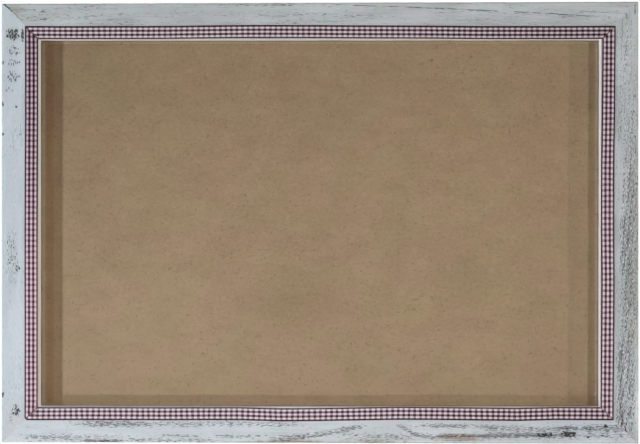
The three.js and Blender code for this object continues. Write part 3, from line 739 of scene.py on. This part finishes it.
def makeGingham():
    tree, given, out = newGroup("ginghamWeave", {
        "Vector": ["Vector"], "Color": ["Dark", "White"],
        "Float": ["Dark Band", "Pale Band", "First Band", "Check", "Duty", "Thread", "Warp Low", "Warp High",
                  "Width", "Selvedge"],
    }, {"Color": ["Color"], "Float": ["Height"]})
    place = axes(tree, given["Vector"])
    wander = cloud(tree, given["Vector"], ribbonCloth["wanderSize"], detail=1.0)
    along = plus(tree, place["X"], swing(tree, wander, -ribbonCloth["wander"], ribbonCloth["wander"]))
    pitch = plus(tree, given["Dark Band"], given["Pale Band"])
    fromBand = maths(tree, "FLOORED_MODULO", plus(tree, place["Y"], given["First Band"]), pitch)
    warpDark = maths(tree, "LESS_THAN", fromBand, given["Dark Band"])
    check = maths(tree, "FLOORED_MODULO", over(tree, along, given["Check"]), 1.0)
    weftDark = maths(tree, "LESS_THAN", check, given["Duty"])

    # Warp and weft take turns on top, and the selvedge is nearly all warp
    u = over(tree, place["X"], given["Thread"])
    v = over(tree, place["Y"], given["Thread"])
    parity = maths(tree, "FLOORED_MODULO", plus(tree, maths(tree, "FLOOR", u), maths(tree, "FLOOR", v)), 2.0)
    warp = spread(tree, parity, 0.0, 1.0, given["Warp Low"], given["Warp High"])
    toEdge = maths(tree, "MINIMUM", place["Y"], minus(tree, given["Width"], place["Y"]))
    atEdge = maths(tree, "LESS_THAN", toEdge, given["Selvedge"])
    warp = plus(tree, warp, times(tree, minus(tree, ribbonCloth["selvedgeWarp"], warp), atEdge))
    dyed = plus(tree, times(tree, warpDark, warp), times(tree, weftDark, minus(tree, 1.0, warp)))
    patchy = cloud(tree, given["Vector"], ribbonCloth["dyeSize"])
    dyed = times(tree, dyed, swing(tree, patchy, *ribbonCloth["dye"]), clamp=True)

    # Colours come in as square roots, so that the half tones stay deep
    blended = tint(tree, dyed, given["White"], given["Dark"])
    tree.links.new(add(tree, "Gamma", {"Color": blended, "Gamma": 2.0}).outputs[0], out["Color"])
    warpRound = maths(tree, "SINE", times(tree, maths(tree, "FRACT", v), math.pi))
    weftRound = maths(tree, "SINE", times(tree, maths(tree, "FRACT", u), math.pi))
    height = plus(tree, times(tree, warpRound, parity), times(tree, weftRound, minus(tree, 1.0, parity)))
    tree.links.new(height, out["Height"])
    return tree


ginghamGroup = makeGingham()


def rooted(colour):
    return tuple(math.sqrt(c) for c in colour)


def ginghamMaterial(side, halfInner):
    cloth = ribbonCloth
    material, tree, shader = newMaterial(f"{side}Gingham")
    space = inMillimetres(tree, add(tree, "UVMap", uv_map="weave").outputs[0])
    darkBand, paleBand = cloth["bands"][side]
    warpLow, warpHigh = cloth["warpShare"][side]
    weave = useGroup(tree, ginghamGroup, {
        "Vector": space, "Dark": rooted(cloth["dark"][side]), "White": rooted(cloth["white"][side]),
        "Dark Band": darkBand, "Pale Band": paleBand, "First Band": cloth["firstBand"],
        "Check": cloth["check"], "Duty": cloth["duty"], "Thread": cloth["thread"], "Warp Low": warpLow,
        "Warp High": warpHigh, "Width": cloth["width"], "Selvedge": cloth["selvedge"]})

    # Ends cut on the skew fray dark, and painted shade darkens the cloth towards some of them, where the
    # light falls off
    place = axes(tree, space)
    toMitre = minus(tree, plus(tree, place["Y"], halfInner), maths(tree, "ABSOLUTE", place["X"]))
    frayed = cloud(tree, space, cloth["frayed"])
    uneven = plus(tree, toMitre, swing(tree, frayed, -cloth["fray"], cloth["fray"]))
    seam = times(tree, smooth(tree, uneven, *cloth["seamReach"]), cloth["seam"][side])
    colour = tint(tree, seam, weave["Color"], cloth["dark"][side])
    atStart, atEnd = cloth["deeper"][side]
    startFrom, endFrom = [share * halfInner for share in cloth["deeperFrom"]]
    deeper = plus(tree, smooth(tree, place["X"], startFrom, -halfInner, 1.0, 1.0 + atStart),
                  smooth(tree, place["X"], endFrom, halfInner, 0.0, atEnd))
    colour = add(tree, "Gamma", {"Color": colour, "Gamma": deeper}).outputs[0]

    # The inner selvedge is rubbed red towards the far end, and glue has come through one corner
    rubbed = times(tree, smooth(tree, place["Y"], *cloth["rubbedReach"]),
                   spread(tree, frayed, *cloth["rubbedFrayed"]))
    rubbedFrom = cloth["rubbedFrom"] * halfInner
    farEnd = smooth(tree, place["X"], -rubbedFrom, rubbedFrom, 0.0, cloth["rubbed"][side])
    colour = tint(tree, times(tree, rubbed, farEnd), colour, cloth["rubbedTo"])
    if side == "bottom":
        lump = (ribbonFold["u"], ribbonFold["v"], ribbonFold["halfLength"], ribbonFold["halfWidth"])
        glue = sumOfPatches(tree, space, frayed, [(*lump, cloth["glueShare"])], *cloth["glueEdge"])
        colour = tint(tree, glue, colour, cloth["glue"])
    setShader(tree, shader, Base_Color=colour, Roughness=0.85, Specular_IOR_Level=0.2, Sheen_Weight=0.15,
              Sheen_Roughness=0.5, Normal=bump(tree, weave["Height"], *cloth["bump"]))
    return material


def buildRibbon(side):
    lie = sides[side]
    cloth = ribbonCloth
    low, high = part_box(f"{side}_ribbon")
    width = (high - low).dot(lie["outAxis"])
    length = (high - low).dot(lie["alongAxis"])
    centre = (low + high) / 2
    inner = centre.dot(lie["outAxis"]) - lie["out"].dot(lie["outAxis"]) * width / 2
    bm = bmesh.new()
    bmesh.ops.create_grid(bm, x_segments=int(length / cloth["step"]), y_segments=cloth["strips"], size=0.5)
    turn = Matrix((lie["along"], -lie["out"].cross(lie["along"]), lie["out"])).transposed().to_4x4()
    upright = Matrix.Rotation(math.pi / 2, 4, "X")
    size = Matrix.Diagonal((length + cloth["spare"], width - 2 * cloth["pulledIn"] * mm, 1, 1))
    bmesh.ops.transform(bm, matrix=upright @ size, verts=bm.verts)
    bmesh.ops.transform(bm, matrix=Matrix.Translation((centre.x, high.y, centre.z)) @ turn, verts=bm.verts)

    # Ends cut to the mitre, then the cloth gets its own coordinates before it is laid
    for end in (-1, 1):
        tip = Vector((centre.x, 0, centre.z)) + lie["along"] * (end * length / 2) + lie["out"] * (width / 2)
        cutThrough(bm, tip + lie["along"] * (end * cloth["mitreOver"]), lie["along"] * end - lie["out"],
                   clear_outer=True)
        if (side, end) in ribbonCut["ends"]:
            cutThrough(bm, tip - lie["along"] * (end * ribbonCut["length"]), lie["along"] * end + lie["out"],
                       clear_outer=True)
    weave = bm.loops.layers.uv.new("weave")
    for face in bm.faces:
        for loop in face.loops:
            spot = loop.vert.co
            loop[weave].uv = ((spot - centre).dot(lie["along"]), abs(spot.dot(lie["outAxis"]) - inner))

    # Glued on by hand: puckered, not quite straight, swollen over the lump of glue
    ownLayer = centre.x * 10 + centre.z * 10
    fold = Vector((ribbonFold["u"] * mm + middle.x, 0, bottomEdge + railWidth - ribbonFold["v"] * mm))
    for vert in bm.verts:
        along = (vert.co - centre).dot(lie["along"])
        ripple = noiseAt(along, vert.co.dot(lie["outAxis"]), cloth["puckerSize"], noiseLayer["puckers"]) + 1
        bow = noise.noise(Vector((along / cloth["bowLength"], noiseLayer["bow"], ownLayer)))
        held = clamped((length / 2 - abs(along)) / cloth["heldEnds"])
        away = (vert.co - fold).xz.length / ribbonFold["reach"]
        vert.co.y -= ripple * cloth["puckers"] * 0.5 + ribbonFold["rise"] * math.exp(-away * away)
        vert.co += drifted(vert.co, ribbonDrift) + lie["out"] * bow * cloth["bow"] * held
    bmesh.ops.recalc_face_normals(bm, faces=bm.faces)
    if bm.faces[0].normal.y > 0:
        bmesh.ops.reverse_faces(bm, faces=bm.faces)
    bmesh.ops.solidify(bm, geom=bm.faces[:], thickness=-cloth["thickness"])
    bmesh.ops.recalc_face_normals(bm, faces=bm.faces)
    halfInner = (length / 2 - width) / mm
    finishPiece(bm, f"{side}Ribbon", "frame", f"{side}_ribbon",
                [ginghamMaterial(side, halfInner)], smoothAngle=60)


for side in sides:
    buildRibbon(side)
print("ribbons built")


# Glass and backing board. Both have eased edges: a seamed arris on the glass, soft sawn edges on the board.
easedEdge = {"glass": 0.30 * mm, "board": 0.40 * mm}
clearGlass = {"tint": (0.985, 1.0, 0.992, 1.0), "through": (0.92, 0.93, 0.925, 1.0), "ior": 1.56,
              "smears": (1 / 18, 1 / 18, 1 / 60), "smeared": (0.55, 0.75, 0.0, 0.025)}  # smears are in metres


def glassMaterial():
    material, tree, shader = newMaterial("clearGlass")
    smears = cloud(tree, objectPoint(tree), clearGlass["smears"], detail=4.0, roughness=0.6)
    setShader(tree, shader, Base_Color=clearGlass["tint"], IOR=clearGlass["ior"], Transmission_Weight=1.0,
              Roughness=spread(tree, smears, *clearGlass["smeared"]))
    # Light that falls through it is let through plainly, so the board is lit without caustics
    clear = add(tree, "BsdfTransparent", {"Color": clearGlass["through"]}).outputs[0]
    rays = add(tree, "LightPath").outputs
    soft = add(tree, "MixShader", {0: rays["Is Diffuse Ray"], 1: shader.outputs[0], 2: clear}).outputs[0]
    mixed = add(tree, "MixShader", {0: rays["Is Shadow Ray"], 1: soft, 2: clear}).outputs[0]
    tree.links.new(mixed, tree.nodes["Material Output"].inputs["Surface"])
    return material


# Sizes and places are in mm, the darker patches from the frame's origin, the painted lip light in from the
# sight edge. Chaff and specks are size, density, edge, grit.
boardFibre = {
    "base": picture(171, 147, 117), "rosy": picture(173, 145, 119), "pale": picture(192, 168, 134),
    "dark": picture(112, 88, 62), "speck": picture(78, 58, 42),
    "blotches": (34.0, 34.0, 22.0), "blotchEdge": (0.40, 0.60), "mottle": (13.0, 13.0, 8.0),
    "mottleShade": (-0.03, 0.17), "fibres": (2.2, 2.0, 1.7), "fibreShade": (0.0, 0.24),
    "leftAt": -140 * mm, "rightAt": 120 * mm, "upperFrom": -30 * mm,
    # Painted shade darkens the top of the board and painted light brightens its foot, as the light falls
    "upper": 0.265, "upperAcross": (1.15, 0.22), "lower": -0.16, "lowerAcross": (1.3, 0.7),
    "damp": [(-13, -149, 44, 22, 0.15), (76, -136, 17, 26, 0.09)], "dampEdge": (1.2, 0.95),
    # Painted light by the lips: paler close by for the lip's reflection in the glass, warmer out through its
    # shadow as painted warm shade
    "margins": [(-1, 3.4, (1.18, 1.42, 1.68)), (-1, 11.0, (1.23, 1.08, 0.97)),
                (1, 3.8, (1.30, 1.42, 1.60)), (1, 8.0, (1.18, 1.09, 1.00))],
    "strands": (6.0, 6.0, 5.0), "strandWidth": (0.022, 0.004), "strandFibres": (0.50, 0.60),
    "strandShare": 0.40,
    "chaff": ((2.0, 2.0, 2.6), 0.20, 0.08, 0.55), "chaffShare": 0.25,
    "specks": ((1.6, 1.6, 1.8), 0.245, 0.05, 0.55), "speckShare": 0.42, "speckDepth": -0.6,
    "bump": (0.05 * mm, 0.5),
}


def boardMaterial():
    look = boardFibre
    material, tree, shader = newMaterial("rawFibreboard")
    point = objectPoint(tree)
    space = inMillimetres(tree, point)
    place = axes(tree, point)

    # Mottled fibre, with painted shade darkening the top and painted light brightening the foot, and two
    # darker patches
    blotches = cloud(tree, space, look["blotches"], detail=3.0, roughness=0.55)
    mottle = cloud(tree, space, look["mottle"], detail=4.0, roughness=0.6)
    fibres = cloud(tree, space, look["fibres"], detail=4.0, roughness=0.7, distortion=0.8)
    leftAt, rightAt = middle.x + look["leftAt"], middle.x + look["rightAt"]
    upperFrom, paintedTopShadeAt = middle.z + look["upperFrom"], topEdge - railWidth
    upper = times(tree, spread(tree, place["Z"], upperFrom, paintedTopShadeAt, 0.0, look["upper"]),
                  spread(tree, place["X"], leftAt, rightAt, *look["upperAcross"]))
    lower = times(tree, smooth(tree, place["Z"], middle.z, bottomEdge, 0.0, look["lower"]),
                  spread(tree, place["X"], leftAt, rightAt, *look["lowerAcross"]))
    flat = {"X": over(tree, place["X"], mm), "Y": over(tree, place["Z"], mm)}
    flat = add(tree, "CombineXYZ", flat).outputs[0]
    # Two darker patches, each given by its place and size
    damp = sumOfPatches(tree, flat, mottle, look["damp"], *look["dampEdge"])
    shade = plus(tree, swing(tree, mottle, *look["mottleShade"]), swing(tree, fibres, *look["fibreShade"]),
                 upper, lower, damp)
    colour = tint(tree, smooth(tree, blotches, *look["blotchEdge"]), look["base"], look["rosy"])
    colour = tint(tree, limited(tree, shade), colour, look["dark"])

    # Painted light along the upright edges of the front: paler by the lip for its reflection in the glass,
    # and warmer through the lip's shadow as painted warm shade
    low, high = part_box("backing_board")
    inFront = smooth(tree, place["Y"], high.y, low.y)
    for way, reach, change in look["margins"]:
        start = middle.x + way * (rightEdge - railWidth - middle.x)
        lipLightMask = times(tree, smooth(tree, place["X"], start - way * reach * mm, start), inFront)
        colour = tint(tree, lipLightMask, colour, (*change, 1.0), "MULTIPLY")

    # Loose strands, pale chaff and dark specks pressed into the face
    lines = cloud(tree, space, look["strands"], detail=1.0, distortion=1.2)
    strand = smooth(tree, maths(tree, "ABSOLUTE", minus(tree, lines, 0.5)), *look["strandWidth"])
    strand = times(tree, strand, smooth(tree, fibres, *look["strandFibres"]))
    colour = tint(tree, times(tree, strand, look["strandShare"]), colour, look["dark"])
    mirrored = multiplied(tree, space, (1, 1, -1))  # so that chaff and specks don't fall together
    chaff = flecks(tree, mirrored, *look["chaff"])
    colour = tint(tree, times(tree, chaff, look["chaffShare"]), colour, look["pale"])
    specks = flecks(tree, space, *look["specks"])
    colour = tint(tree, times(tree, specks, look["speckShare"]), colour, look["speck"])
    height = plus(tree, fibres, times(tree, specks, look["speckDepth"]))
    setShader(tree, shader, Base_Color=colour, Roughness=0.85, Specular_IOR_Level=0.2,
              Normal=bump(tree, height, *look["bump"]))
    return material


pane = mergedCopy("glass_pane")
softenEdges(pane, easedEdge["glass"], 1, foldedEdges(pane, 60))
finishPiece(pane, "glassPane", "frame", "glass_pane", [glassMaterial()], smoothAngle=30)
board = mergedCopy("backing_board")
softenEdges(board, easedEdge["board"], 3, foldedEdges(board, 60))
finishPiece(board, "backingBoard", "frame", "backing_board", [boardMaterial()], smoothAngle=40)
print("glass and board built")


# Plated hardware on the back
zincLook = {"bright": picture(190, 191, 189), "dull": picture(146, 147, 146), "grime": picture(96, 92, 86),
            "roughness": 0.34}
steelLook = {"bright": picture(168, 169, 172), "dull": picture(112, 110, 108), "grime": picture(86, 70, 56),
             "roughness": 0.42}
plating = {"bloom": (3.0, 3.0, 3.0), "bloomEdge": (0.35, 0.7), "bloomRoughness": (-0.08, 0.14),
           "scuffs": (0.12, 2.0, 1.6), "spots": ((1.6, 1.6, 1.6), 0.24, 0.06, 0.5), "spotShare": 0.5,
           "spotRoughness": 0.2, "bump": (0.02 * mm, 0.35)}


def platedMaterial(name, look):
    material, tree, shader = newMaterial(name)
    space = inMillimetres(tree, objectPoint(tree))
    bloom = cloud(tree, space, plating["bloom"], detail=4.0, roughness=0.6)
    scuffs = cloud(tree, space, plating["scuffs"])
    spots = flecks(tree, space, *plating["spots"])
    colour = tint(tree, spread(tree, bloom, *plating["bloomEdge"]), look["bright"], look["dull"])
    colour = tint(tree, times(tree, spots, plating["spotShare"]), colour, look["grime"])
    smoother, rougher = [look["roughness"] + change for change in plating["bloomRoughness"]]
    roughness = plus(tree, swing(tree, bloom, smoother, rougher),
                     times(tree, spots, plating["spotRoughness"]))
    setShader(tree, shader, Metallic=1.0, Base_Color=colour, Roughness=roughness,
              Normal=bump(tree, scuffs, *plating["bump"]))
    return material


zinc = platedMaterial("zincPlate", zincLook)
steel = platedMaterial("bareSteel", steelLook)


def pieceName(node):
    first, *rest = node.split("_")
    return first + "".join(word.capitalize() for word in rest)


# Turn buttons are stamped plate: rolled edges and a shallow coined panel
turnButton = {"rolled": 0.26 * mm, "coin": 0.9 * mm, "coinDepth": 0.10 * mm}


def buildTurnButton(node):
    bm = mergedCopy(node)
    softenEdges(bm, turnButton["rolled"], 3, foldedEdges(bm, 60))
    rear = [f for f in bm.faces if f.normal.y > square]
    bmesh.ops.inset_region(bm, faces=rear, thickness=turnButton["coin"], depth=-turnButton["coinDepth"],
                           use_even_offset=True, use_boundary=True)
    finishPiece(bm, pieceName(node), node.replace("_turn_button", "_button"), node, [zinc],
                smoothAngle=40)


# Screws and nails are turned round the y axis, point first, with the head's underside at y = 0. Sizes are in
# mm. Turn is how far round the first is driven and how much further the next, in radians.
buttonScrew = {
    "length": 9.5, "neck": 1.2, "shoulder": 0.3, "shank": 1.42, "core": 1.0, "pitch": 1.3, "slices": 8,
    "ridge": 0.3, "runOut": 0.05, "point": 2.4, "head": 2.9, "rim": 0.5, "height": 1.6, "steps": 40,
    "recess": 3.3, "recessWidth": 0.74, "recessDepth": 1.0, "recessTaper": 0.66, "turn": (0.3, 0.83),
}
hangerNail = {"length": 9.0, "shank": 0.7, "point": 1.5, "head": 1.8, "rim": 0.35, "height": 0.7, "steps": 32,
              "turn": (0.0, 0.5)}
domeSteps = 8
rimEdge = 0.3  # share of the rim that is rounded off


def domedHead(look):
    edge = look["rim"] * rimEdge
    profile = [(look["head"] - edge, 0.0), (look["head"], edge), (look["head"], look["rim"])]
    for i in range(1, domeSteps + 1):
        angle = i / domeSteps * math.pi / 2
        rise = (look["height"] - look["rim"]) * math.sin(angle)
        profile.append((look["head"] * math.cos(angle) if i < domeSteps else 0.0, look["rim"] + rise))
    return profile


def turned(profile, steps):
    bm = bmesh.new()
    verts = [bm.verts.new((radius * mm, y * mm, 0)) for radius, y in profile]
    edges = [bm.edges.new(pair) for pair in zip(verts, verts[1:])]
    bmesh.ops.spin(bm, geom=verts + edges, cent=(0, 0, 0), axis=(0, 1, 0), angle=2 * math.pi, steps=steps,
                   use_merge=True)
    bmesh.ops.remove_doubles(bm, verts=bm.verts, dist=weld)
    bmesh.ops.recalc_face_normals(bm, faces=bm.faces)
    return bm


def threadedScrew():
    look = buttonScrew
    slices = int((look["length"] - look["neck"]) / look["pitch"] * look["slices"])
    profile = [(0.0, -look["length"])]
    for i in range(1, slices + 1):
        y = -look["length"] + i / slices * (look["length"] - look["neck"])
        profile.append((look["core"] * min(1.0, (y + look["length"]) / look["point"]), y))
    profile += [(look["shank"], -look["neck"] + look["shoulder"]), (look["shank"], 0.0)] + domedHead(look)
    bm = turned(profile, look["steps"])
    for vert in bm.verts:
        y = vert.co.y / mm
        radius = vert.co.xz.length / mm
        if radius > onFace / mm and y < -look["neck"] - look["runOut"]:
            phase = (y / look["pitch"] - math.atan2(vert.co.z, vert.co.x) / (2 * math.pi)) % 1.0
            ridge = max(0.0, 1 - abs(phase - 0.5) / look["ridge"])
            ridge *= min(1.0, (y + look["length"]) / look["point"])
            grow = 1 + ridge * (look["shank"] - look["core"]) / radius
            vert.co.x *= grow
            vert.co.z *= grow
    return meshFrom(bm, "screwBlank")


def crossRecessed(blank):  # two tapered bars cut the cross into the head
    look = buttonScrew
    screw = inScene("screwBlank", blank)
    helpers = [screw]
    for along, across in ((look["recess"], look["recessWidth"]), (look["recessWidth"], look["recess"])):
        bm = bmesh.new()
        bmesh.ops.create_cube(bm, size=1.0)
        bmesh.ops.scale(bm, vec=(along * mm, 2 * look["recessDepth"] * mm, across * mm), verts=bm.verts)
        bmesh.ops.scale(bm, vec=(look["recessTaper"], 1, look["recessTaper"]),
                        verts=[v for v in bm.verts if v.co.y < 0])
        bmesh.ops.translate(bm, vec=(0, look["height"] * mm, 0), verts=bm.verts)
        helpers.append(inScene("recessBar", meshFrom(bm, "recessBar")))
        cut = screw.modifiers.new("recess", "BOOLEAN")
        cut.operation = "DIFFERENCE"
        cut.solver = "EXACT"
        cut.object = helpers[-1]
    finished = bpy.data.meshes.new_from_object(screw.evaluated_get(bpy.context.evaluated_depsgraph_get()))
    for helper in helpers:
        bpy.data.objects.remove(helper)
    return finished


def pointedNail():
    look = hangerNail
    profile = [(0.0, -look["length"]), (look["shank"], look["point"] - look["length"]), (look["shank"], 0.0)]
    return meshFrom(turned(profile + domedHead(look), look["steps"]), "nailBlank")


def startAtLowest(bm):  # the cut leaves it to chance where a many-sided face starts, and so how it is split
    for face in [f for f in bm.faces if len(f.verts) > 4]:
        corners = face.verts[:]
        first = corners.index(min(corners, key=lambda v: v.co[:]))
        bm.faces.remove(face)
        bm.faces.new(corners[first:] + corners[:first])


def placeFastener(node, number, mesh, look, material):
    bm = bmesh.new()
    bm.from_mesh(mesh)
    low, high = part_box(node)
    seat = Vector(((low.x + high.x) / 2, high.y - look["height"] * mm, (low.z + high.z) / 2))
    firstTurn, nextTurn = look["turn"]
    turn = Matrix.Rotation(firstTurn + nextTurn * number, 4, "Y")
    bmesh.ops.dissolve_degenerate(bm, dist=sliver, edges=bm.edges)
    startAtLowest(bm)
    bmesh.ops.transform(bm, matrix=Matrix.Translation(seat) @ turn, verts=bm.verts)
    finishPiece(bm, pieceName(node), "frame", node, [material], smoothAngle=35)


# Sawtooth hangers: pressed strip with rounded bends and deburred edges
pressedHanger = {"bend": 0.7 * mm, "bendAngles": (30, 42), "deburr": 0.10 * mm}


def buildHanger(node):
    bm = mergedCopy(node)
    softenEdges(bm, pressedHanger["bend"], 4, foldedEdges(bm, *pressedHanger["bendAngles"]))
    softenEdges(bm, pressedHanger["deburr"], 2, foldedEdges(bm, 60))
    bmesh.ops.dissolve_degenerate(bm, dist=sliver, edges=bm.edges)
    finishPiece(bm, pieceName(node), "frame", node, [zinc], smoothAngle=35)


screwMesh = crossRecessed(threadedScrew())
nailMesh = pointedNail()
for number, name in enumerate(sorted(nodes)):
    if name.endswith("_turn_button"):
        buildTurnButton(name)
    elif name.endswith("_button_screw"):
        placeFastener(name, number, screwMesh, buttonScrew, zinc)
    elif name.endswith("_hanger"):
        buildHanger(name)
    elif "_v_nail" in name:  # the CAD shape is right, so it only takes the finish
        nodes[name].data.materials.clear()
        nodes[name].data.materials.append(steel)
    elif name.endswith("_nail"):
        placeFastener(name, number, nailMesh, hangerNail, steel)
print("hardware built")


# Floor, light and camera
stage = {"floorBelow": 1.1, "floorSize": 5.0, "floor": picture(240, 240, 238), "whiteReach": (0.5, 2.2),
         "whiteShare": (0.55, 1.0), "ambient": 0.14, "ambientTint": (1.18, 1.0, 0.80, 1.0), "dimRoom": 0.06,
         "dimAhead": (0.6, 0.9)}
# Toward is where a lamp stands from the frame's middle, power its share of full light on the face it lights
lamps = {
    "lowLeft": {"toward": (-1.16, -1, -0.60), "away": 0.85, "size": 0.09, "power": 0.205, "cool": 0.105},
    "left": {"toward": (-1.16, -1, -0.06), "away": 0.85, "size": 0.09, "power": 0.165, "cool": 0.105},
    "leftFront": {"toward": (-0.70, -1.0, -0.10), "away": 1.0, "size": 0.03, "power": 0.1, "cool": 0.05},
    "rightFront": {"toward": (0.60, -1.0, -0.10), "away": 1.0, "size": 0.06, "power": 0.24, "cool": -0.055},
    "farRight": {"toward": (1.54, -1.0, -0.05), "away": 1.0, "size": 0.035, "power": 0.09, "cool": -0.055},
    "sideLeft": {"toward": (-4.0, -1.0, 0.0), "away": 0.35, "size": 0.3, "power": 0.04, "cool": 0.0},
    "sideRight": {"toward": (4.0, -1.0, 0.0), "away": 0.35, "size": 0.3, "power": 0.038, "cool": -0.02},
    "overhead": {"toward": (0.4, -1.0, 4.0), "away": 0.35, "size": 0.3, "power": 0.04, "cool": 0.0},
    "rearLeft": {"toward": (-0.7, 1.0, 0.5), "away": 0.9, "size": 0.35, "power": 0.36, "cool": 0.0},
    "rearRight": {"toward": (0.8, 1.0, 0.35), "away": 0.9, "size": 0.35, "power": 0.32, "cool": 0.0},
}
lens = {"away": 0.77, "right": 13 * mm, "below": 20 * mm, "aimRight": 0.5 * mm, "aimUp": 0.35 * mm,
        "photoWidth": 329.5 * mm, "sensor": 36.0}


def seenRays(tree):  # rays that show a background: to the camera, in metal and through glass
    rays = add(tree, "LightPath").outputs
    mirrored = maths(tree, "MAXIMUM", rays["Is Glossy Ray"], rays["Is Transmission Ray"])
    return {"all": maths(tree, "MAXIMUM", rays["Is Camera Ray"], mirrored), "mirrored": mirrored}


def buildFloor():
    bm = bmesh.new()
    bmesh.ops.create_grid(bm, x_segments=1, y_segments=1, size=stage["floorSize"] / 2)
    bmesh.ops.translate(bm, verts=bm.verts, vec=(0, 0, middle.z - stage["floorBelow"]))
    material, tree, shader = newMaterial("paleFloor")
    setShader(tree, shader, Base_Color=stage["floor"], Roughness=0.9)
    # Far from the frame the floor runs out into the white round it
    flat = multiplied(tree, objectPoint(tree), (1, 1, 0))
    away = add(tree, "VectorMath", {0: flat}, operation="LENGTH").outputs["Value"]
    far = smooth(tree, away, *stage["whiteReach"], *stage["whiteShare"])
    glow = add(tree, "Emission", {"Color": white, "Strength": 1.0}).outputs[0]
    seen = seenRays(tree)["all"]
    mixed = add(tree, "MixShader", {0: times(tree, seen, far), 1: shader.outputs[0], 2: glow}).outputs[0]
    tree.links.new(mixed, tree.nodes["Material Output"].inputs["Surface"])
    floor = inScene("floor", meshFrom(bm, "floor"))
    floor.data.materials.append(material)


def buildLamps():
    for name, lamp in lamps.items():
        light = bpy.data.lights.new(name, "AREA")
        light.shape = "DISK"
        light.size = lamp["size"]
        light.color = (1 - lamp["cool"], 1.0, 1 + lamp["cool"])
        way = Vector(lamp["toward"])
        way *= lamp["away"] / abs(way.y)
        # Power for a given share of full light on the face: a disk lamp aimed at it, seen at this slant
        slant = abs(way.normalized().y)
        light.energy = lamp["power"] * math.pi ** 2 * way.length_squared / slant
        holder = inScene(name, light)
        holder.location = middle + way
        holder.rotation_euler = (-way).to_track_quat("-Z", "Y").to_euler()
        # The glass doesn't mirror the lamps in front of it
        holder.visible_glossy = way.y > 0
        holder.visible_transmission = way.y > 0


def buildWorld():  # even soft light, and white wherever the camera, glass or metal sees it
    world = bpy.data.worlds.new("studio")
    world.use_nodes = True
    scene.world = world
    tree = world.node_tree
    soft = tree.nodes["Background"]
    soft.inputs["Color"].default_value = stage["ambientTint"]
    soft.inputs["Strength"].default_value = stage["ambient"]
    seen = seenRays(tree)
    # The room in front of the frame is dim, so the glass mirrors little of it
    way = add(tree, "TexCoord").outputs["Generated"]
    ahead = add(tree, "VectorMath", {0: way, 1: (0, -1, 0)}, operation="DOT_PRODUCT").outputs["Value"]
    dim = times(tree, smooth(tree, ahead, *stage["dimAhead"], 0.0, 1 - stage["dimRoom"]), seen["mirrored"])
    room = add(tree, "Background", {"Color": white, "Strength": minus(tree, 1.0, dim)}).outputs[0]
    mixed = add(tree, "MixShader", {0: seen["all"], 1: soft.outputs[0], 2: room}).outputs[0]
    tree.links.new(mixed, tree.nodes["World Output"].inputs["Surface"])


def buildCamera():
    data = bpy.data.cameras.new("camera")
    data.sensor_width = lens["sensor"]
    data.lens = lens["sensor"] * lens["away"] / lens["photoWidth"]
    data.shift_y = (lens["below"] + lens["aimUp"]) / lens["photoWidth"]
    camera = inScene("camera", data)
    camera.location = middle + Vector((lens["right"], -lens["away"], -lens["below"]))
    camera.rotation_euler = (math.pi / 2, 0, math.atan2(lens["right"] - lens["aimRight"], lens["away"]))
    scene.camera = camera


buildFloor()
buildLamps()
buildWorld()
buildCamera()
scene.view_settings.view_transform = "Standard"
print("stage set")
